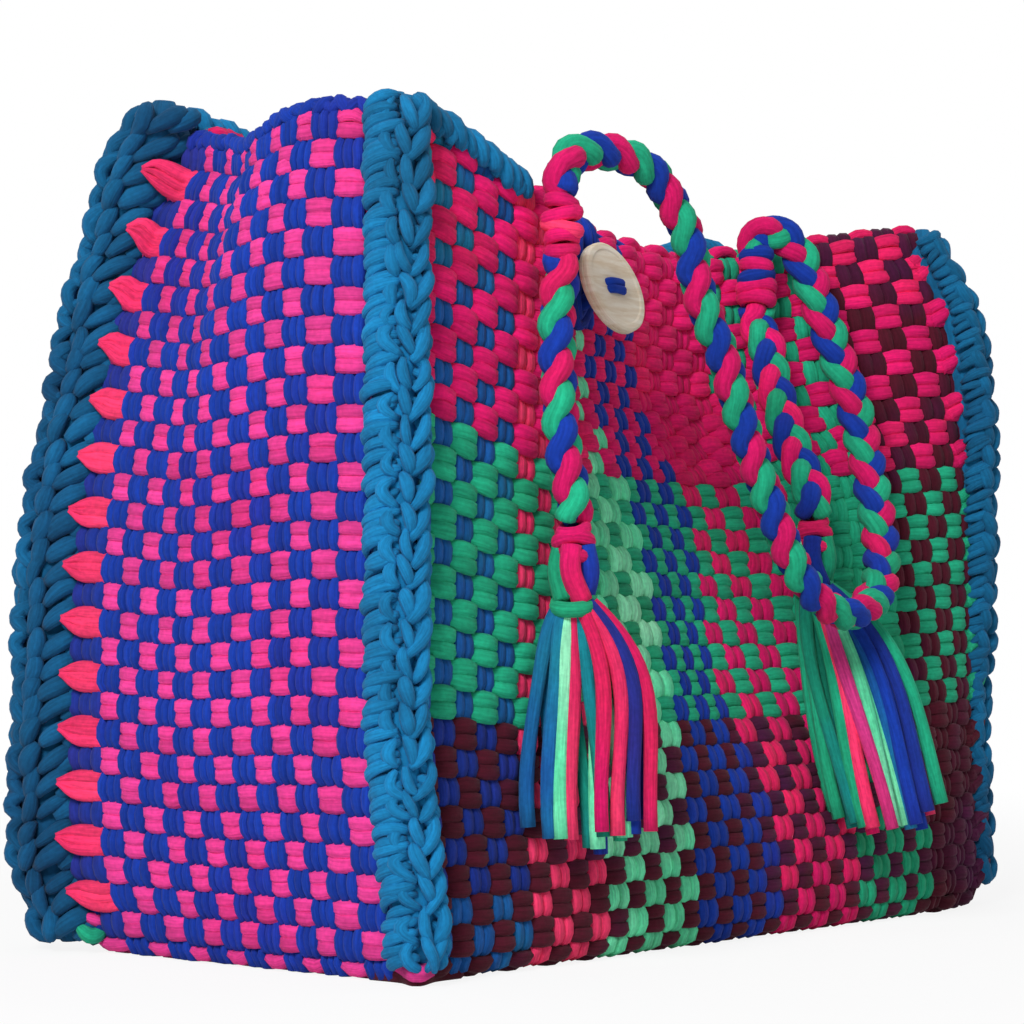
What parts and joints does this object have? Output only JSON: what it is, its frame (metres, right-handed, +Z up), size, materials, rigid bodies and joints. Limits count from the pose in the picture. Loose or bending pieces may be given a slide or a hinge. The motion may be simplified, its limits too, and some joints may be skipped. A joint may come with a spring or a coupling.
{
  "type": "tote bag",
  "caption": "Soft open tote bag woven from thick jersey yarn, with crocheted edges, a rope handle, tasselled rope tails and a wooden button that closes it with a yarn loop.",
  "frame": {"origin": "middle of the bag's underside, measured without the hanging ropes", "axes": "+X along the front towards the wearer's right as seen from the front, +Y from the front to the back, +Z up"},
  "size_m": [0.4502, 0.2521, 0.3431],
  "materials": {
    "plaid_cloth": "plain weave of matte jersey yarn in plaid stripes",
    "check_cloth": "plain weave of matte jersey yarn in blue and pink checks",
    "teal_crochet": "matte crocheted jersey yarn",
    "royal_yarn": "matte jersey yarn",
    "rim_wraps": "matte jersey yarn wrapped over the rim",
    "rope_yarn": "three-strand rope of matte jersey yarn",
    "knot_yarn": "matte jersey yarn, knotted and wound",
    "tassel_yarn": "loose matte jersey yarn ends",
    "pale_wood": "smooth pale wood with a soft sheen"
  },
  "bodies": {
    "root": {"front_panel": "plaid_cloth", "back_panel": "plaid_cloth", "base_panel": "plaid_cloth", "left_gusset": "check_cloth", "right_gusset": "check_cloth", "front_left_edging": "teal_crochet", "front_right_edging": "teal_crochet", "back_left_edging": "teal_crochet", "back_right_edging": "teal_crochet", "back_rim": "teal_crochet", "left_rim": "royal_yarn", "right_rim": "royal_yarn", "closure_loop": "royal_yarn", "button_yarn": "royal_yarn", "front_rim": "rim_wraps", "handle_rope": "rope_yarn", "left_tail_rope": "rope_yarn", "right_tail_rope": "rope_yarn", "left_handle_knot": "knot_yarn", "right_handle_knot": "knot_yarn", "left_tail_knot": "knot_yarn", "right_tail_knot": "knot_yarn", "left_tassel_wrap": "knot_yarn", "right_tassel_wrap": "knot_yarn", "left_tassel": "tassel_yarn", "right_tassel": "tassel_yarn", "button": "pale_wood"}
  },
  "joints": []
}
